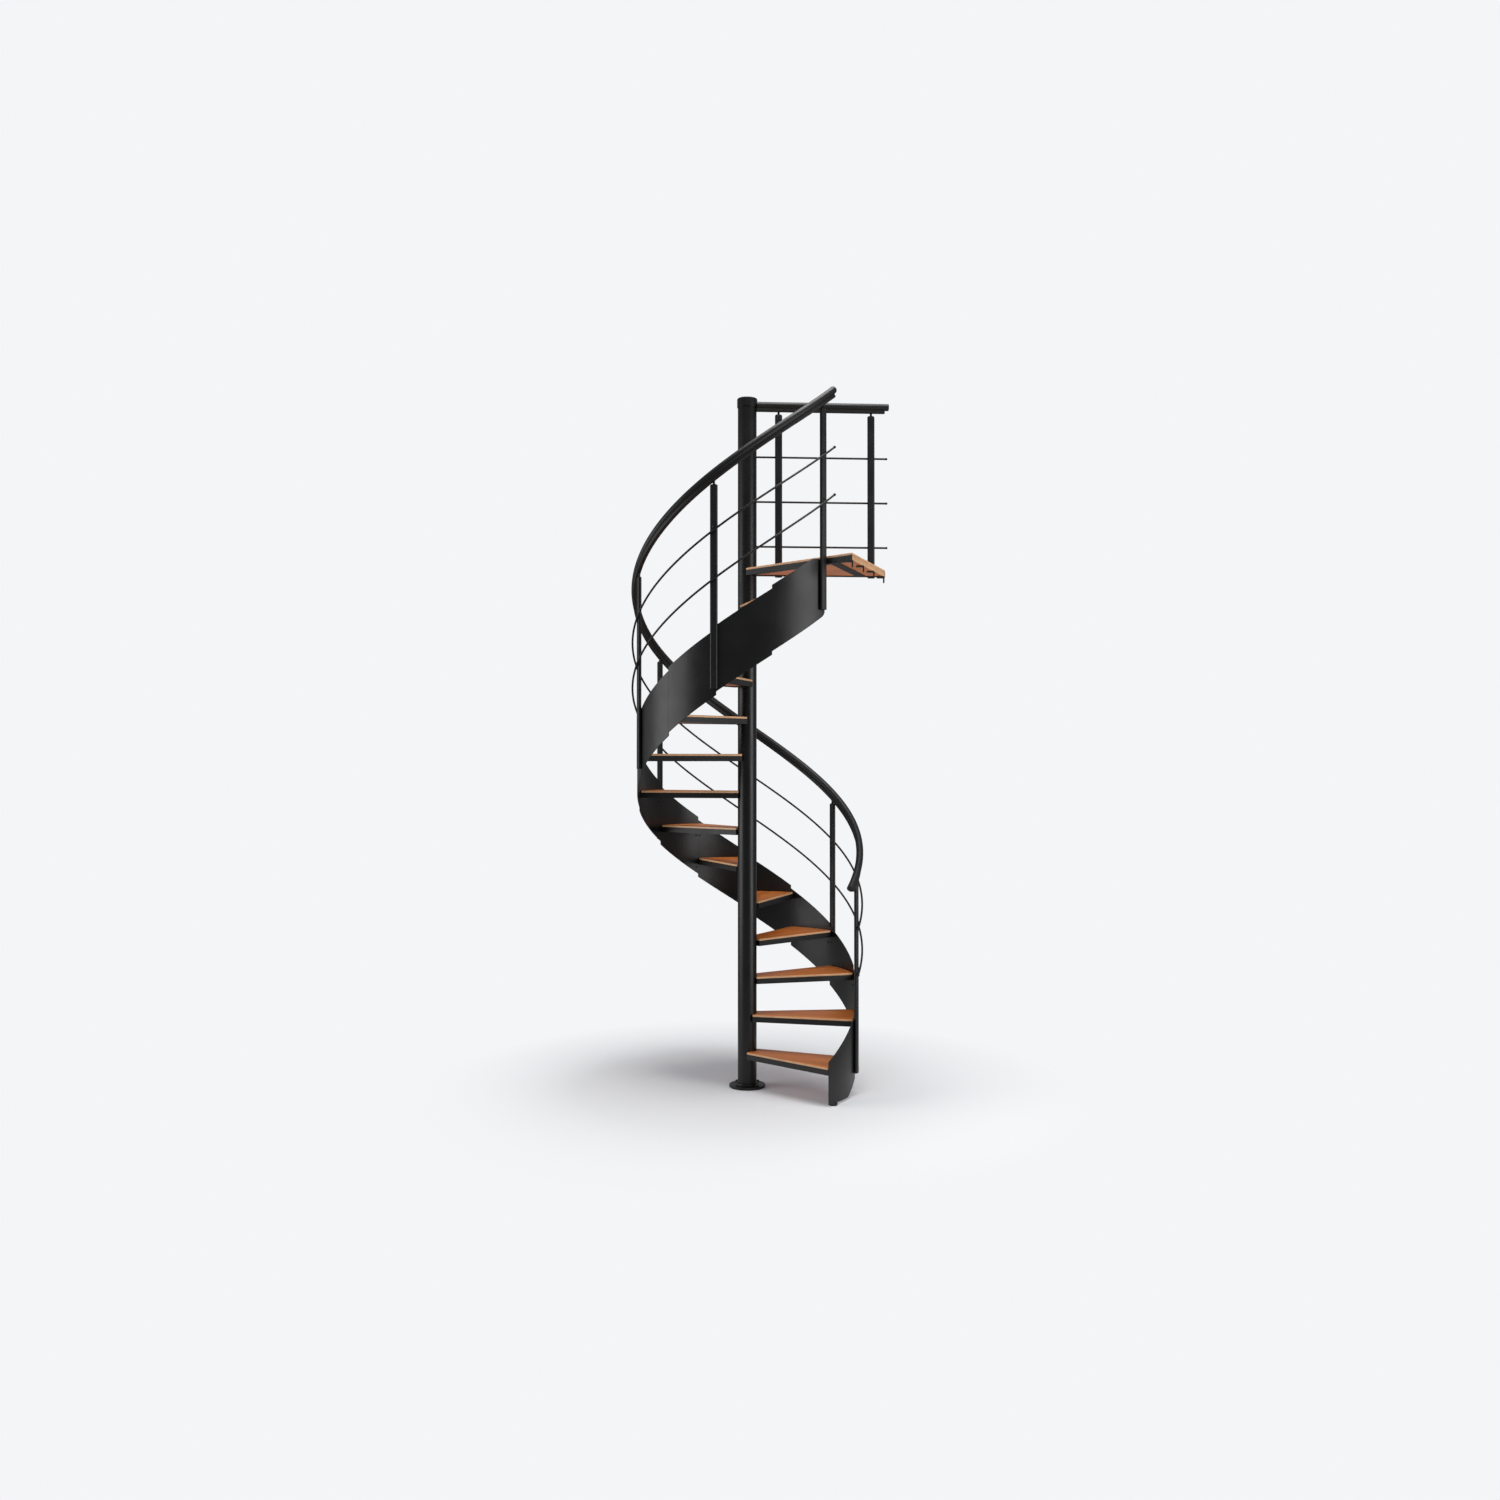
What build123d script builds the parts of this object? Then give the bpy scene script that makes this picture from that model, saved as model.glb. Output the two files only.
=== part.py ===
"""Spiral staircase: wedge treads between a round column and a rolled plate stringer.

Millimetres, +Z up. The origin is on the floor at the centre of the column's base flange.
The stair climbs counter-clockwise seen from above, starting at the front right.
"""

from build123d import *

import math
import os

os.makedirs("parts", exist_ok=True)

# Flight: where it starts, how it climbs. The first and the last riser differ a little
first_riser = 221.2
riser = 223.7
tread_count = 13
step_angle = 27.2
first_nosing_angle = -45.5
landing_height = 3131.0
helix_pitch = riser * 360 / step_angle

# Column, its cap and its floor flange
column_radius = 114.3 / 2
column_wall = 5.0
column_top = 4163.0
cap_radius = 61.5
cap_depth = 56.5
cap_crown = 11.0
cap_rounding = 6.0
flange_radius = 109.0
flange_thickness = 15.0
flange_collar_radius = 66.0
flange_collar_height = 10.0
flange_bolt_circle = 176.0
flange_bolt_count = 4
flange_bolt_radius = 7.0

# Outer diameter is set by the rods: 1400 mm over all
overall_radius = 700.0
rod_radius = 6.0
post_width = 44.0
post_depth = 22.0
rod_helix_radius = overall_radius - rod_radius
contact_gap = 0.3
post_helix_radius = rod_helix_radius - rod_radius - contact_gap - post_depth / 2
stringer_outer_radius = post_helix_radius - post_depth / 2 - contact_gap

# Stringer plates
stringer_thickness = 6.0
stringer_inner_radius = stringer_outer_radius - stringer_thickness
plate_height = 371.0
plate_above_nosing = 33.0
plate_jog = 20.0
plate_joint_gap = 1.0
plate_joint_degrees = math.degrees(plate_joint_gap / stringer_outer_radius)
plate_floor_gap = 15.0
first_corner_radius = 14.0
end_corner_radius = 22.0

# Foot under the first plate
foot_angle = -40.8
foot_radius = 26.0
foot_stud_radius = 5.0
foot_stud_top = 62.0
foot_lug_width = 18.0
foot_lug_bottom = 28.0
foot_lug_height = 20.0

# Treads
board_thickness = 40.0
lip_thickness = 4.0
lip_height = 32.0
flange_sheet = 4.0
flange_width = 32.0
strip_height = board_thickness + flange_sheet - lip_height
front_line_offset = -59.5
rear_line_offset = 51.0
rear_overlap_degrees = 1.0
narrow_end = 47.0
board_end_gap = 4.0
frame_outer_radius = stringer_inner_radius - 0.3
board_outer_radius = frame_outer_radius - board_end_gap
column_clearance = 1.5

# Railing of the flight
post_angles = [first_nosing_angle + 0.5 + step_angle * step for step in range(1, 13, 2)]
last_post_angle = first_nosing_angle + step_angle * tread_count + 1.6
rail_centre_above_nosing = 860.0
rail_gain_per_step = 2.4
rail_radius = 42.4 / 2
rail_helix_radius = 680.0
rail_bar_width = 26.0
rail_bar_height = 17.0
rail_start_angle = -28.4
rail_end_angle = 317.0
bar_setback_degrees = 1.6
rod_heights_above_nosing = [279.2, 551.2]
rod_gain_per_step = 1.0
rod_start_angle = -20.0
rod_end_angle = 316.0
post_foot_below_nosing = 317.5
post_chamfer = 7.0
post_neck_radius = 7.0
post_neck_height = 16.0
rail_saddle_depth = 4.0

# Landing, a wedge wider than the stair's circle
landing_front_angle = -43.0
landing_back_angle = 3.6
landing_back_offset = -28.0
landing_outer_angle = 68.8
landing_outer_offset = -774.9
landing_rail_top = 1020.0
landing_rod_heights = [141.0, 414.0, 687.0]
landing_post_distances = [190.0, 756.0]
landing_rail_end = 865.0
landing_bar_end = 840.0
landing_rod_end = 853.0
landing_post_foot = 48.0
landing_strap_inset = 97.0
landing_strap_width = 56.0
bracket_leg = 40.0
bracket_thickness = 5.0
bracket_length = 40.0
bracket_inset = 24.0
bracket_fractions = [0.1, 0.4, 0.7, 1.0]


def nosing_height(angle):
    """Height of the line through the nosings at an angle in degrees."""
    return first_riser + riser * (angle - first_nosing_angle) / step_angle


def on_circle(radius, angle):
    """Point of the plan at a radius and an angle in degrees."""
    return (radius * math.cos(math.radians(angle)), radius * math.sin(math.radians(angle)))


def radial_plane(radius, angle, height):
    """Upright plane through the axis: x outwards, y up, at a point of the plan."""
    x, y = on_circle(radius, angle)
    outwards = on_circle(1, angle)
    return Plane(
        origin=(x, y, height),
        x_dir=(outwards[0], outwards[1], 0),
        z_dir=(outwards[1], -outwards[0], 0),
    )


def offset_line_point(offset, direction, distance):
    """Point at a distance along a line that passes the axis at an offset."""
    along = on_circle(1, direction)
    return (
        -offset * along[1] + distance * along[0],
        offset * along[0] + distance * along[1],
    )


def lines_meet(first, second):
    """Where two lines cross, each given as its offset from the axis and its direction."""
    turn = math.sin(math.radians(second[1] - first[1]))
    start = offset_line_point(*first, 0)
    across = on_circle(1, second[1] + 90)
    miss = second[0] - (start[0] * across[0] + start[1] * across[1])
    return offset_line_point(*first, -miss / turn)


def line_to_radius(offset, radius):
    """Distance along an offset line from its nearest point to where it meets a circle."""
    return math.sqrt(radius**2 - offset**2)


def helix_path(radius, pitch, start_angle, end_angle, start_height):
    """Helical edge between two angles in degrees."""
    rise = pitch * (end_angle - start_angle) / 360
    spiral = Helix(pitch, rise, radius, center=(0, 0, start_height), mode=Mode.PRIVATE)
    return spiral.rotate(Axis.Z, start_angle)


def rail_bar_section():
    """Section of the bar under a handrail's centre, with the saddle for the tube."""
    saddle = rail_radius - rail_saddle_depth
    with Locations((0, -saddle)):
        Rectangle(
            rail_bar_width,
            rail_bar_height + rail_saddle_depth,
            align=(Align.CENTER, Align.MAX),
        )
    Circle(rail_radius + contact_gap, mode=Mode.SUBTRACT)


def finish(piece, name):
    """Label a finished piece and write it under its own name."""
    piece.part.label = name
    export_step(piece.part, f"parts/{name}.step")


# Floor flange: a round plate with a collar, and holes for the floor bolts
with BuildPart() as base_flange:
    with BuildSketch():
        Circle(flange_radius)
    extrude(amount=flange_thickness)
    with BuildSketch(Plane.XY.offset(flange_thickness)):
        Circle(flange_collar_radius)
    extrude(amount=flange_collar_height)
    fillet(base_flange.edges().filter_by(GeomType.CIRCLE).group_by(Axis.Z)[-1], 3)
    with BuildSketch(Plane.XY.offset(flange_thickness)):
        Circle(column_radius)
    extrude(amount=flange_collar_height, mode=Mode.SUBTRACT)
    with Locations(Plane.XY.offset(flange_thickness)):
        with PolarLocations(flange_bolt_circle / 2, flange_bolt_count, start_angle=45):
            Hole(flange_bolt_radius)
finish(base_flange, "base_flange")

# Column: one tube from the flange to the inside of the cap
with BuildPart() as centre_column:
    with BuildSketch(Plane.XY.offset(flange_thickness)):
        Circle(column_radius)
        Circle(column_radius - column_wall, mode=Mode.SUBTRACT)
    extrude(amount=column_top - flange_thickness)
finish(centre_column, "centre_column")

# Cap: turned cup over the column's top, nearly flat, with a rounded rim
cap_skirt = column_top + cap_crown - cap_depth
with BuildPart() as column_cap:
    with BuildSketch(Plane.XZ) as cap_profile:
        with BuildLine():
            Polyline(
                (0, column_top),
                (column_radius, column_top),
                (column_radius, cap_skirt),
                (cap_radius, cap_skirt),
                (cap_radius, column_top + cap_crown - 2),
                (0, column_top + cap_crown),
                close=True,
            )
        make_face()
        rim = (cap_radius, column_top + cap_crown)
        fillet(cap_profile.vertices().sort_by_distance(rim)[0], cap_rounding)
    revolve(axis=Axis.Z)
finish(column_cap, "column_cap")


def tread_outline(front_inset, rear_inset, outer_radius, inner_cut):
    """Wedge of one tread whose nosing ends at angle 0, less insets at its edges."""
    front_direction = math.degrees(math.asin(-front_line_offset / stringer_inner_radius))
    rear_end = step_angle + rear_overlap_degrees
    rear_direction = rear_end - math.degrees(math.asin(rear_line_offset / stringer_inner_radius))
    front = front_line_offset + front_inset
    rear = rear_line_offset - rear_inset
    front_inner = offset_line_point(front, front_direction, narrow_end)
    front_outer = offset_line_point(front, front_direction, line_to_radius(front, outer_radius))
    rear_outer = offset_line_point(rear, rear_direction, line_to_radius(rear, outer_radius))
    rear_inner = offset_line_point(rear, rear_direction, narrow_end)
    middle = math.atan2(front_outer[1] + rear_outer[1], front_outer[0] + rear_outer[0])
    with BuildSketch() as outline:
        with BuildLine():
            Line(front_inner, front_outer)
            ThreePointArc(front_outer, on_circle(outer_radius, math.degrees(middle)), rear_outer)
            Polyline(rear_outer, rear_inner, front_inner)
        make_face()
        Circle(inner_cut, mode=Mode.SUBTRACT)
    return outline.sketch


# One tread about its own top surface, with its nosing ending at angle 0
board_full = tread_outline(0, 0, board_outer_radius, column_radius + column_clearance)
board_rebated = tread_outline(
    lip_thickness, lip_thickness, board_outer_radius, column_radius + column_clearance
)
frame_full = tread_outline(0, 0, frame_outer_radius, column_radius)
frame_opening = tread_outline(
    flange_width, flange_width, board_outer_radius - flange_width, column_radius + flange_width
)

with BuildPart() as board_form:
    add(board_full)
    extrude(amount=-strip_height, dir=(0, 0, 1))
    add(board_rebated)
    extrude(amount=-board_thickness, dir=(0, 0, 1))

with BuildPart() as frame_form:
    with BuildSketch(Plane.XY.offset(-strip_height)):
        add(frame_full)
    extrude(amount=-lip_height)
    with BuildSketch(Plane.XY.offset(-strip_height)):
        add(board_rebated)
    extrude(amount=strip_height - board_thickness, mode=Mode.SUBTRACT)
    with BuildSketch(Plane.XY.offset(-board_thickness)):
        add(frame_opening)
    extrude(amount=-flange_sheet, mode=Mode.SUBTRACT)

frames = []
for number in range(1, tread_count + 1):
    angle = first_nosing_angle + step_angle * (number - 1)
    place = Location((0, 0, nosing_height(angle)), (0, 0, angle))
    with BuildPart() as tread_board:
        with Locations(place):
            add(board_form.part)
    finish(tread_board, f"tread_board_{number:02d}")
    frames.append(place)

with BuildPart() as tread_frames:
    with Locations(*frames):
        add(frame_form.part)
finish(tread_frames, "tread_frames")

# Stringer: one rolled plate a tread. Each climbs a little less than the flight, so the edges
# step up at every joint. The section is upright and is carried up a helix.
plate_pitch = (riser - plate_jog) * 360 / step_angle
stringer_middle_radius = (stringer_inner_radius + stringer_outer_radius) / 2
for number in range(1, tread_count + 1):
    start_angle = first_nosing_angle + step_angle * (number - 1) + plate_joint_degrees / 2
    end_angle = start_angle + step_angle - plate_joint_degrees
    if number == tread_count:
        end_angle = last_post_angle + math.degrees(post_width / 2 / post_helix_radius)
    tread_top = first_riser + riser * (number - 1)
    centre_height = tread_top + plate_above_nosing - plate_height / 2
    with BuildPart() as stringer_plate:
        with BuildLine() as plate_path:
            add(
                helix_path(
                    stringer_middle_radius, plate_pitch, start_angle, end_angle, centre_height
                )
            )
        with BuildSketch(radial_plane(stringer_middle_radius, start_angle, centre_height)):
            Rectangle(stringer_thickness, plate_height)
        sweep(path=plate_path.line, is_frenet=True)
        if number == 1:
            # The first plate is cut level just above the floor
            with BuildSketch():
                Circle(overall_radius)
            extrude(amount=plate_floor_gap, mode=Mode.SUBTRACT)
            with BuildSketch():
                Circle(overall_radius)
            extrude(amount=-plate_height, mode=Mode.SUBTRACT)
            level_cut = stringer_plate.edges().group_by(Axis.Z)[0]
            corner = level_cut.sort_by(Axis.Y)[-1]
            fillet(corner, first_corner_radius)
        if number == tread_count:
            # The last plate ends in a rounded lower corner
            end_drop = plate_height / 2 - plate_pitch * (end_angle - start_angle) / 360
            low_end = (*on_circle(stringer_middle_radius, end_angle), centre_height - end_drop)
            corner = stringer_plate.edges().sort_by_distance(low_end)[0]
            fillet(corner, end_corner_radius)
    finish(stringer_plate, f"stringer_plate_{number:02d}")

# Foot: a round pad under the first plate, on a stud that a lug holds to the plate's inner face
foot_axis_radius = stringer_inner_radius - 9.4
with BuildPart() as stringer_foot:
    with BuildSketch(Plane.XZ):
        with BuildLine():
            Polyline(
                (0, 0),
                (foot_radius - 2, 0),
                (foot_radius, 2),
                (foot_radius, plate_floor_gap - 3),
                (foot_radius - 3, plate_floor_gap),
                (foot_stud_radius, plate_floor_gap),
                (foot_stud_radius, foot_stud_top),
                (0, foot_stud_top),
                close=True,
            )
        make_face()
    revolve(axis=Axis.Z)
    with BuildSketch(Plane.XY.offset(foot_lug_bottom)):
        Rectangle(
            stringer_inner_radius - foot_axis_radius - contact_gap,
            foot_lug_width,
            align=(Align.MIN, Align.CENTER),
        )
        Circle(foot_lug_width / 2)
    extrude(amount=foot_lug_height)
with BuildPart() as placed_foot:
    with Locations(Location((*on_circle(foot_axis_radius, foot_angle), 0), (0, 0, foot_angle))):
        add(stringer_foot.part)
finish(placed_foot, "stringer_foot")


# The rail and the rods climb a little more than the nosings
rail_pitch = (riser + rail_gain_per_step) * 360 / step_angle
rod_pitch = (riser + rod_gain_per_step) * 360 / step_angle
rail_slope = math.degrees(math.atan(rail_pitch / (2 * math.pi * rail_helix_radius)))


def along_slope(distance):
    """Upright height of a distance that is square to the handrail."""
    return distance / math.cos(math.radians(rail_slope))


def rail_centre(angle):
    """Height of the handrail's centre at an angle in degrees."""
    start_height = nosing_height(rail_start_angle) + rail_centre_above_nosing
    return start_height + rail_pitch * (angle - rail_start_angle) / 360


def rail_underside(angle):
    """Height of the lower bar's underside at an angle in degrees."""
    return rail_centre(angle) - along_slope(rail_radius + rail_bar_height)


def post(plan_point, angle, foot, head, head_slope):
    """Flat oval post with a chamfered head, and a neck cut to the slope of the rail on it."""
    x_dir = (*on_circle(1, angle + 90), 0)
    with BuildPart() as oval:
        with BuildSketch(Plane(origin=(*plan_point, foot), x_dir=x_dir, z_dir=(0, 0, 1))):
            SlotOverall(post_width, post_depth)
        extrude(amount=head - post_neck_height - foot)
        chamfer(oval.faces().sort_by(Axis.Z)[-1].edges(), post_chamfer)
        neck_plane = Plane(
            origin=(*plan_point, head - post_neck_height), x_dir=x_dir, z_dir=(0, 0, 1)
        )
        with BuildSketch(neck_plane):
            Circle(post_neck_radius)
        extrude(amount=2 * post_neck_height)
        head_plane = Plane(origin=(*plan_point, head - contact_gap), x_dir=x_dir, z_dir=(0, 0, 1))
        split(bisect_by=head_plane.rotated((0, -head_slope, 0)), keep=Keep.BOTTOM)
    return oval.part


# Balusters on the stringer's outer face
with BuildPart() as flight_posts:
    for angle in [*post_angles, last_post_angle]:
        foot = nosing_height(angle) - post_foot_below_nosing
        add(post(on_circle(post_helix_radius, angle), angle, foot, rail_underside(angle), rail_slope))
finish(flight_posts, "flight_posts")

# Rods on the posts' outer faces
with BuildPart() as flight_rods:
    for height in rod_heights_above_nosing:
        start_height = nosing_height(rod_start_angle) + height
        with BuildLine() as rod_path:
            add(
                helix_path(
                    rod_helix_radius, rod_pitch, rod_start_angle, rod_end_angle, start_height
                )
            )
        with BuildSketch(Plane(origin=rod_path.line @ 0, z_dir=rod_path.line % 0)):
            Circle(rod_radius)
        sweep(path=rod_path.line, is_frenet=True)
finish(flight_rods, "flight_rods")

# Handrail tube, and the bar under it
with BuildPart() as flight_handrail:
    with BuildLine() as rail_path:
        add(
            helix_path(
                rail_helix_radius,
                rail_pitch,
                rail_start_angle,
                rail_end_angle,
                rail_centre(rail_start_angle),
            )
        )
    with BuildSketch(Plane(origin=rail_path.line @ 0, z_dir=rail_path.line % 0)):
        Circle(rail_radius)
    sweep(path=rail_path.line, is_frenet=True)
finish(flight_handrail, "flight_handrail")

# The bar is carried along the tube's own helix, with a saddle that the tube lies in
with BuildPart() as flight_handrail_bar:
    bar_start_angle = rail_start_angle + bar_setback_degrees
    bar_end_angle = rail_end_angle - bar_setback_degrees
    with BuildLine() as bar_path:
        add(
            helix_path(
                rail_helix_radius,
                rail_pitch,
                bar_start_angle,
                bar_end_angle,
                rail_centre(bar_start_angle),
            )
        )
    outwards = (*on_circle(1, bar_start_angle), 0)
    with BuildSketch(Plane(origin=bar_path.line @ 0, x_dir=outwards, z_dir=bar_path.line % 0)):
        rail_bar_section()
    sweep(path=bar_path.line, is_frenet=True)
finish(flight_handrail_bar, "flight_handrail_bar")


def landing_line_point(inset, distance):
    """Point of the landing's back edge line moved outwards by an inset."""
    return offset_line_point(landing_back_offset + inset, landing_back_angle, distance)


def landing_outline(front_inset, back_inset, outer_inset):
    """Wedge of the landing, less insets at its three edges."""
    front = (front_line_offset + front_inset, landing_front_angle)
    back = (landing_back_offset - back_inset, landing_back_angle)
    outer = (landing_outer_offset + outer_inset, landing_outer_angle)
    with BuildSketch() as outline:
        with BuildLine():
            Polyline(
                offset_line_point(*front, narrow_end),
                lines_meet(front, outer),
                lines_meet(back, outer),
                offset_line_point(*back, narrow_end),
                close=True,
            )
        make_face()
        Circle(column_radius + column_clearance, mode=Mode.SUBTRACT)
    return outline.sketch


# Landing board, rebated for the frame's lips at its front and back
landing_full = landing_outline(0, 0, 0)
landing_rebated = landing_outline(lip_thickness, lip_thickness, 0)
with BuildPart() as landing_board:
    with BuildSketch(Plane.XY.offset(landing_height)):
        add(landing_full)
    extrude(amount=-strip_height)
    with BuildSketch(Plane.XY.offset(landing_height)):
        add(landing_rebated)
    extrude(amount=-board_thickness)
finish(landing_board, "landing_board")

# Landing frame: an angle along the front and one along the back, and a strap between them
landing_base = landing_height - board_thickness
with BuildPart() as landing_frame:
    with BuildSketch(Plane.XY.offset(landing_base - flange_sheet)):
        add(landing_full)
    extrude(amount=flange_sheet + board_thickness - strip_height)
    with BuildSketch(Plane.XY.offset(landing_base)):
        add(landing_outline(lip_thickness, lip_thickness, -lip_thickness))
    extrude(amount=board_thickness, mode=Mode.SUBTRACT)
    with BuildSketch(Plane.XY.offset(landing_base - flange_sheet)):
        add(landing_outline(flange_width, flange_width, landing_strap_inset + landing_strap_width))
    extrude(amount=flange_sheet, mode=Mode.SUBTRACT)
    with BuildSketch(Plane.XY.offset(landing_base - flange_sheet)):
        add(landing_outline(flange_width, flange_width, -lip_thickness))
        add(
            landing_outline(flange_width, flange_width, landing_strap_inset), mode=Mode.SUBTRACT
        )
    extrude(amount=flange_sheet, mode=Mode.SUBTRACT)
finish(landing_frame, "landing_frame")

# Brackets: short angles under the board's outer edge, for the floor that it joins
with BuildPart() as landing_brackets:
    front_corner = lines_meet(
        (front_line_offset + flange_width, landing_front_angle),
        (landing_outer_offset + bracket_inset, landing_outer_angle),
    )
    back_corner = lines_meet(
        (landing_back_offset - flange_width - 1.1 * bracket_length, landing_back_angle),
        (landing_outer_offset + bracket_inset, landing_outer_angle),
    )
    for fraction in bracket_fractions:
        corner = [a + (b - a) * fraction for a, b in zip(front_corner, back_corner)]
        with BuildSketch(Plane.XZ.offset(-corner[1])):
            with Locations((corner[0], landing_base)):
                Rectangle(bracket_leg, bracket_thickness, align=(Align.MAX, Align.MAX))
                Rectangle(bracket_thickness, bracket_leg, align=(Align.MAX, Align.MAX))
        extrude(amount=-bracket_length)
finish(landing_brackets, "landing_brackets")

# Railing of the landing: posts on the back edge, rods behind them, and the same rail on top
landing_post_inset = post_depth / 2 + contact_gap
landing_rod_inset = post_depth + 2 * contact_gap + rod_radius
landing_rail_centre = landing_height + landing_rail_top - rail_radius
with BuildPart() as landing_posts:
    for distance in landing_post_distances:
        add(
            post(
                landing_line_point(landing_post_inset, distance),
                landing_back_angle - 90,
                landing_height - landing_post_foot,
                landing_rail_centre - rail_radius - rail_bar_height,
                0,
            )
        )
finish(landing_posts, "landing_posts")


def landing_run(inset, height):
    """Plane square to the back edge, at its start, facing along it."""
    along = on_circle(1, landing_back_angle)
    return Plane(
        origin=(*landing_line_point(inset, 0), height),
        x_dir=(-along[1], along[0], 0),
        z_dir=(*along, 0),
    )


with BuildPart() as landing_rods:
    for height in landing_rod_heights:
        with BuildSketch(landing_run(landing_rod_inset, landing_height + height)):
            Circle(rod_radius)
        extrude(amount=landing_rod_end)
    Cylinder(
        column_radius + contact_gap,
        column_top,
        align=(Align.CENTER, Align.CENTER, Align.MIN),
        mode=Mode.SUBTRACT,
    )
finish(landing_rods, "landing_rods")

with BuildPart() as landing_handrail:
    with BuildSketch(landing_run(landing_post_inset, landing_rail_centre)):
        Circle(rail_radius)
    extrude(amount=landing_rail_end)
    Cylinder(
        cap_radius + contact_gap,
        2 * column_top,
        align=(Align.CENTER, Align.CENTER, Align.MIN),
        mode=Mode.SUBTRACT,
    )
finish(landing_handrail, "landing_handrail")

with BuildPart() as landing_handrail_bar:
    with BuildSketch(landing_run(landing_post_inset, landing_rail_centre)):
        rail_bar_section()
    extrude(amount=landing_bar_end)
    Cylinder(
        cap_radius + contact_gap,
        2 * column_top,
        align=(Align.CENTER, Align.CENTER, Align.MIN),
        mode=Mode.SUBTRACT,
    )
finish(landing_handrail_bar, "landing_handrail_bar")
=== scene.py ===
# %% [markdown]
# # Spiral staircase
#
# The imported solids give the stair's true sizes. This file dresses them: smooth surfaces for
# everything that is round or rolled, softened edges, timber, powder-coated steel and the small
# fasteners. All lengths are metres, +Z is up, and the stair climbs counter-clockwise.

# %%
# Load the imported model, and bake each part's placement into its mesh
import math

import bmesh
import bpy
import numpy as np
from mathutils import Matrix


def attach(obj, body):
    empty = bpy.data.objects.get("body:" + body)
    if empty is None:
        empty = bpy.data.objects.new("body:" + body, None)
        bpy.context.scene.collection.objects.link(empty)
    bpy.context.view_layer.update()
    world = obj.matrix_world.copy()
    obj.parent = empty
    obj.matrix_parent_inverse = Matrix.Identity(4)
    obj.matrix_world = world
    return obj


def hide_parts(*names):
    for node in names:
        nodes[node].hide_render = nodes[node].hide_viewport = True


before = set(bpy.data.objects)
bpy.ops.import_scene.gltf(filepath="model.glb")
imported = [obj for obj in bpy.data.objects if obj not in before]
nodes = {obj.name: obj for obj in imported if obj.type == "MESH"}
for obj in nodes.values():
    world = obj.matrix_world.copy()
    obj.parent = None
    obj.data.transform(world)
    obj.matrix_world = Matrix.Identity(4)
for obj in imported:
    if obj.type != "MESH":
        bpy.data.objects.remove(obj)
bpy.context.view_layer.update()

# %% [markdown]
# ## Sizes of the stair
#
# These repeat the part's own dimensions. The nosings lie on one helix: tread `n` ends at angle
# `FIRST + STEP * (n - 1)` on the stringer, `RISER` above the one before. The handrail and the
# rods climb a little more with each step than the nosings do.

# %%
# Sizes shared by several pieces
FIRST_RISER = 0.2212
RISER = 0.2237
STEP = 27.2
FIRST = -45.5
TREADS = 13
LANDING = 3.131
BOARD = 0.040
BOARD_OUTER = 0.6551
STRIP = 0.012
FRONT_LINE = -0.0595
REAR_LINE = 0.051
REAR_OVERLAP = 1.0
NARROW_END = 0.047
COLUMN = 0.05715
COLUMN_GAP = 0.0015
CAP = 0.0615
CAP_FOOT = 4.1175
CAP_TOP = 4.174
ROD = 0.006
ROD_HELIX = 0.694
ROD_RISES = [0.2792, 0.5512]
ROD_GAIN = 0.001
ROD_START = -20.0
ROD_END = 316.0
POST_HELIX = 0.6767
POST_WIDTH = 0.044
POST_DEPTH = 0.022
POST_FOOT = 0.3175
POST_LAG = 0.5
LAST_POST_LAG = 1.6
POST_ANGLES = [FIRST + POST_LAG + STEP * k for k in range(1, TREADS, 2)]
POST_ANGLES.append(FIRST + STEP * TREADS + LAST_POST_LAG)
STRINGER_OUTER = 0.6654
STRINGER_INNER = 0.6594
PLATE_HEIGHT = 0.371
PLATE_RISE = 0.033
PLATE_JOG = 0.020
FLOOR_GAP = 0.015
JOINT_LAG = 1.3
LAST_PLATE_TOP = 3.113
RAIL = 0.0212
RAIL_HELIX = 0.680
RAIL_RISE = 0.860
RAIL_GAIN = 0.0024
RAIL_START = -28.4
RAIL_END = 317.0
BAR_WIDTH = 0.026
BAR_HEIGHT = 0.017
BAR_SETBACK = 1.6
BAR_SADDLE = 0.004

# %% [markdown]
# ## Surface tools
#
# Every surface is a stack of rings. A ring is a closed outline in its own plane, and `inset`
# draws it in, which rounds the edges at both ends of a bar or at the top of a board.


# %%
# Outlines in the plane, as arrays of (u, v) points going counter-clockwise
def unit(vectors):
    """v / |v| for every row."""
    return vectors / np.linalg.norm(vectors, axis=-1, keepdims=True)


def oval(width, depth, count=32):
    """Slot outline: u = r cos a +- (width / 2 - r), v = r sin a, with r = depth / 2."""
    angle = (np.arange(count) + 0.5) * 2 * math.pi / count
    radius = depth / 2
    reach = np.sign(np.cos(angle)) * (width / 2 - radius)
    return np.stack([radius * np.cos(angle) + reach, radius * np.sin(angle)], axis=-1)


def rounded(corners, radius, steps=4):
    """Closed outline whose corners are curves (1-t)^2 a + 2 t (1-t) corner + t^2 b."""
    corners = np.asarray(corners, dtype=float)
    before = unit(np.roll(corners, 1, axis=0) - corners)
    after = unit(np.roll(corners, -1, axis=0) - corners)
    radius = np.broadcast_to(radius, len(corners))
    outline = []
    for corner, back, ahead, size in zip(corners, before, after, radius):
        if size == 0:
            outline.append(corner)
            continue
        for t in np.linspace(0, 1, steps + 1):
            start, end = corner + size * back, corner + size * ahead
            outline.append((1 - t) ** 2 * start + 2 * t * (1 - t) * corner + t**2 * end)
    return np.array(outline)


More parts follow.
